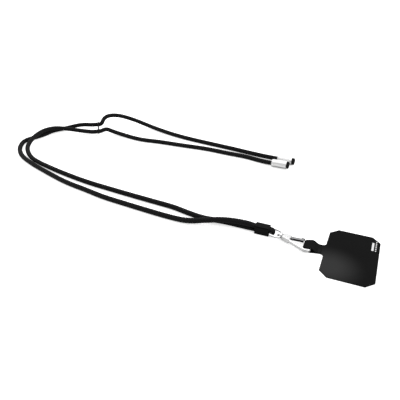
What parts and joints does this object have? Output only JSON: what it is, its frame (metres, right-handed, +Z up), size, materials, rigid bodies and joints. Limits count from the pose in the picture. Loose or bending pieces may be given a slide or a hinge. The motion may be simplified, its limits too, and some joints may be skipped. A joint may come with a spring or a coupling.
{
  "type": "phone lanyard",
  "caption": "Adjustable neck lanyard: doubled braided cord with a two-hole slider and capped tails, crimped to a swivel snap hook that holds a flat fabric phone tether card.",
  "frame": {"origin": "centre of the tether card's underside, on the plane the whole lanyard lies on", "axes": "+X from the hook towards the card's far edge, +Z up out of the card's face, +Y to the left of +X, towards the cord's free tails"},
  "size_m": [0.4028, 0.2015, 0.0192],
  "materials": {
    "cord": "braided, slight sheen",
    "cord_core": "matt yarn",
    "crimp": "gloss black",
    "slider": "gloss black",
    "end_sleeve": "satin silver",
    "end_plug": "satin black",
    "hook_metal": "bright nickel plate",
    "gate_metal": "satin",
    "tab": "woven, matt",
    "card": "close woven, matt",
    "card_backing": "matt film"
  },
  "bodies": {
    "neck_cord": {"neck_cord_sheath": "cord", "neck_cord_core": "cord_core", "cord_crimp": "crimp"},
    "slider": {"cord_slider": "slider"},
    "outer_tail": {"outer_tail_sheath": "cord", "outer_tail_core": "cord_core", "outer_end_sleeve": "end_sleeve", "outer_end_plug": "end_plug"},
    "inner_tail": {"inner_tail_sheath": "cord", "inner_tail_core": "cord_core", "inner_end_sleeve": "end_sleeve", "inner_end_plug": "end_plug"},
    "eye": {"swivel_eye": "hook_metal"},
    "hook": {"hook_frame": "hook_metal", "swivel_post": "hook_metal", "gate_pin": "hook_metal", "gate_spring": "gate_metal"},
    "gate": {"hook_gate": "gate_metal"},
    "tab": {"tab_loop": "tab"},
    "card": {"card_face": "card", "card_backing": "card_backing"}
  },
  "joints": [
    {"name": "slider_slide", "type": "slide", "parent": "neck_cord", "child": "slider", "axis": [0.8648, 0.4993, 0.0523], "range_m": [-0.004, 0.0003]},
    {"name": "outer_tail_swing", "type": "hinge", "parent": "neck_cord", "child": "outer_tail", "pos_m": [-0.31712, 0.13506, 0.01001], "axis": [0, 0, 1], "range_deg": [0, 25]},
    {"name": "inner_tail_swing", "type": "hinge", "parent": "neck_cord", "child": "inner_tail", "pos_m": [-0.31194, 0.12664, 0.00476], "axis": [0, 0, 1], "range_deg": [-25, 0]},
    {"name": "eye_swing", "type": "hinge", "parent": "neck_cord", "child": "eye", "pos_m": [-0.064, 0.0038, 0.00385], "axis": [-0.2164, -0.9763, 0], "range_deg": [-75, 75]},
    {"name": "swivel_spin", "type": "hinge", "parent": "eye", "child": "hook", "pos_m": [-0.05571, 0.00196, 0.00345], "axis": [0.9752, -0.2162, -0.0471], "continuous": true},
    {"name": "gate_open", "type": "hinge", "parent": "hook", "child": "gate", "pos_m": [-0.05071, 0.00147, 0.00321], "axis": [-0.046, 0.0102, -0.9989], "range_deg": [0, 27], "stiffness_Nm_per_rad": 0.02, "springref_deg": -20.05, "deforming": ["gate_spring"]},
    {"name": "tab_swing", "type": "hinge", "parent": "hook", "child": "tab", "pos_m": [-0.03045, -0.00364, 0.00223], "axis": [-0.2164, -0.9763, 0], "range_deg": [-75, 75]},
    {"name": "card_flex", "type": "hinge", "parent": "tab", "child": "card", "pos_m": [-0.023, 0, 0.0005], "axis": [0, -1, 0], "range_deg": [-60, 60], "stiffness_Nm_per_rad": 0.002}
  ]
}
